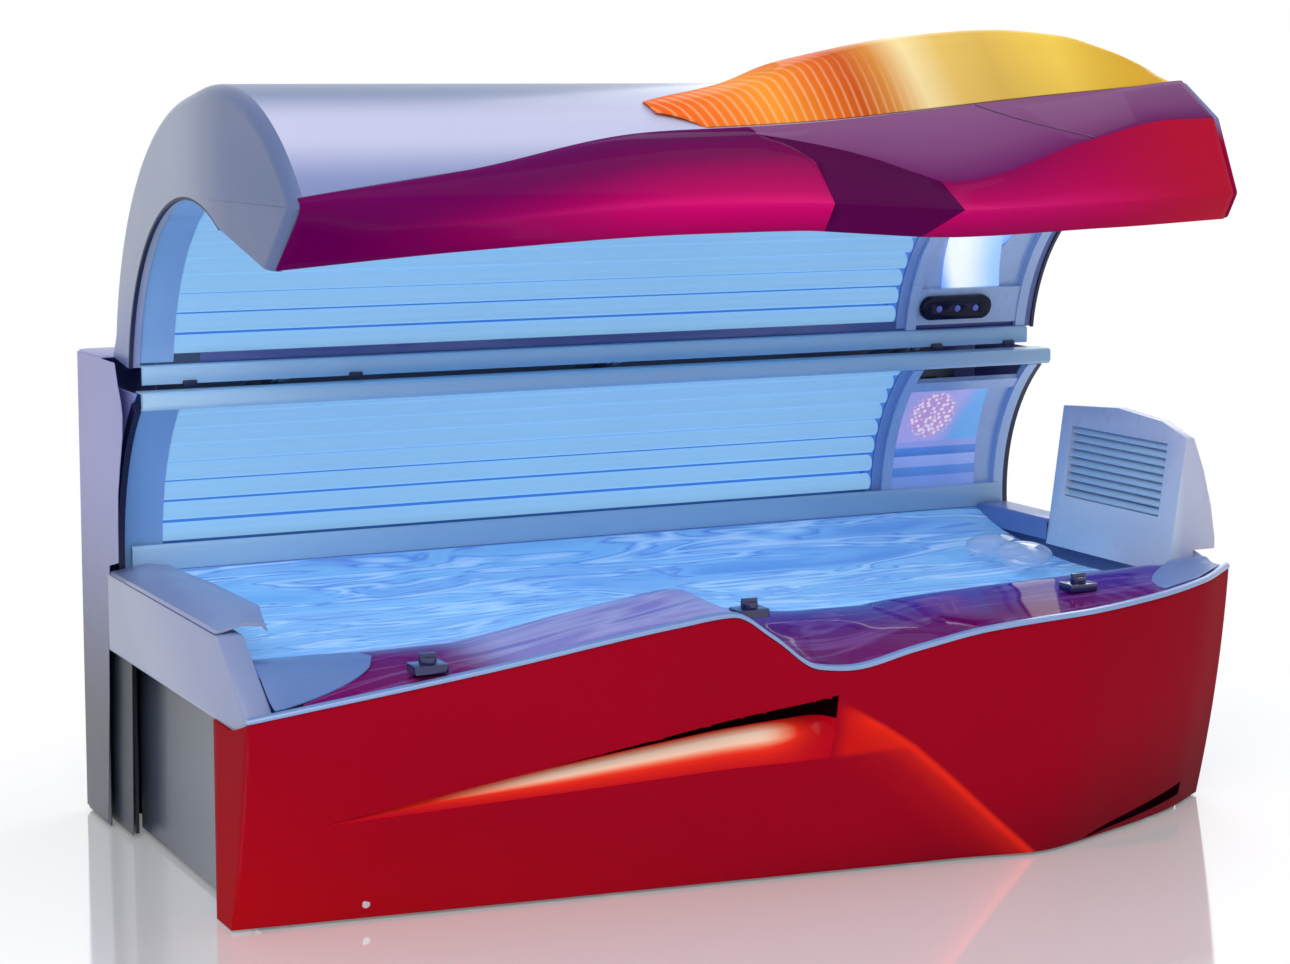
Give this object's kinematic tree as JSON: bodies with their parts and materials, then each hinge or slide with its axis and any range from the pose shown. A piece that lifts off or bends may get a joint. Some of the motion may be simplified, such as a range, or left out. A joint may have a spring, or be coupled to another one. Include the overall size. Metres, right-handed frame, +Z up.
{
  "type": "clamshell tanning bed",
  "caption": "Full-size clamshell tanning bed: curved lamp canopy hinged over a moulded clear bench, lamp wall at the back, glossy front panel with air scoop, louvred head end.",
  "frame": {"origin": "on the floor, at the middle of the bounding box's base", "axes": "+X along the bed from the foot end to the head end, +Y from the user's side to the back, +Z up; canopy open at rest"},
  "size_m": [2.282, 1.42, 1.6836],
  "materials": {
    "frame_aluminium": "mill",
    "foot_rubber": "matt",
    "front_red": "high gloss",
    "intake_dark": "matt",
    "trim_silver": "brushed",
    "panel_grey": "metallic satin",
    "band_silver": "metallic satin",
    "post_lavender": "metallic satin",
    "slate": "satin",
    "rear_grey": "satin",
    "rail_blue_silver": "anodised",
    "reflector": "polished",
    "lamp_glass": "phosphor coated",
    "holder_white": "satin",
    "acrylic_clear": "clear gloss",
    "cover_lilac": "satin",
    "gasket_black": "matt",
    "tanner_dark": "satin",
    "dish_silver": "polished",
    "burner_glass": "clear",
    "tub_white": "painted satin",
    "latch_navy": "gloss",
    "steel": "zinc plated",
    "ballast_steel": "satin",
    "fan_black": "matt",
    "shell_silver": "metallic gloss",
    "visor_magenta": "high gloss",
    "amber": "translucent gloss",
    "control_dark": "gloss",
    "button_blue": "satin"
  },
  "bodies": {
    "base": {"base_frame": "frame_aluminium", "levelling_feet": "foot_rubber", "front_panel": "front_red", "intake_scoop": "intake_dark", "front_trim_strip": "trim_silver", "side_panels": "panel_grey", "end_bands": "band_silver", "foot_end_cover": "band_silver", "corner_covers": "post_lavender", "head_housing": "band_silver", "head_louvres": "band_silver", "rear_cheeks": "post_lavender", "cheek_strips": "slate", "rear_panel": "rear_grey", "column_cap": "post_lavender", "lower_rail": "rail_blue_silver", "back_reflector": "reflector", "back_lamps": "lamp_glass", "back_lamp_holders": "holder_white", "back_shield": "acrylic_clear", "back_holder_covers": "cover_lilac", "back_edge_gaskets": "gasket_black", "shoulder_frame": "tanner_dark", "shoulder_reflector": "dish_silver", "shoulder_burner": "burner_glass", "bench_acrylic": "acrylic_clear", "bench_tub": "tub_white", "bench_lamps": "lamp_glass", "bench_lamp_holders": "holder_white", "neck_pillow": "acrylic_clear", "latch_blocks": "latch_navy", "hinge_brackets": "steel", "hinge_pins": "steel", "ballasts": "ballast_steel", "mains_inlet": "fan_black", "fan_housing": "fan_black"},
    "canopy": {"canopy_shell": "shell_silver", "canopy_end_cap_left": "shell_silver", "canopy_end_cap_right": "shell_silver", "front_visor": "visor_magenta", "canopy_soffit": "rear_grey", "amber_cover": "amber", "canopy_frame": "ballast_steel", "canopy_reflector": "reflector", "canopy_lamps": "lamp_glass", "canopy_lamp_holders": "holder_white", "canopy_shield": "acrylic_clear", "canopy_holder_covers": "cover_lilac", "arch_gaskets": "gasket_black", "facial_frame": "tanner_dark", "facial_reflectors": "dish_silver", "facial_burners": "burner_glass", "control_panel": "control_dark"},
    "latch_knob_1": {"latch_knob_1": "latch_navy"},
    "latch_knob_2": {"latch_knob_2": "latch_navy"},
    "latch_knob_3": {"latch_knob_3": "latch_navy"},
    "fan_rotor": {"fan_rotor": "fan_black"},
    "button_start": {"button_start": "button_blue"},
    "button_fan": {"button_fan": "button_blue"},
    "button_face": {"button_face": "button_blue"}
  },
  "joints": [
    {"name": "canopy_hinge", "type": "hinge", "parent": "base", "child": "canopy", "pos_m": [-0.001, 0.415, 0.965], "axis": [1, 0, 0], "range_deg": [0, 34]},
    {"name": "latch_turn_1", "type": "hinge", "parent": "base", "child": "latch_knob_1", "pos_m": [-0.79672, -0.448, 0.515], "axis": [0, 0, 1], "range_deg": [0, 90]},
    {"name": "latch_turn_2", "type": "hinge", "parent": "base", "child": "latch_knob_2", "pos_m": [-0.13096, -0.47, 0.567], "axis": [0, 0, 1], "range_deg": [0, 90]},
    {"name": "latch_turn_3", "type": "hinge", "parent": "base", "child": "latch_knob_3", "pos_m": [0.66305, -0.44, 0.55], "axis": [0, 0, 1], "range_deg": [0, 90]},
    {"name": "fan_spin", "type": "hinge", "parent": "base", "child": "fan_rotor", "pos_m": [0.499, 0.68, 0.64], "axis": [0, 1, 0], "continuous": true},
    {"name": "press_start", "type": "slide", "parent": "canopy", "child": "button_start", "axis": [0, 0.9636, 0.2672], "range_m": [0, 0.0015], "stiffness_N_per_m": 600},
    {"name": "press_fan", "type": "slide", "parent": "canopy", "child": "button_fan", "axis": [0, 0.9636, 0.2672], "range_m": [0, 0.0015], "stiffness_N_per_m": 600},
    {"name": "press_face", "type": "slide", "parent": "canopy", "child": "button_face", "axis": [0, 0.9636, 0.2672], "range_m": [0, 0.0015], "stiffness_N_per_m": 600}
  ]
}
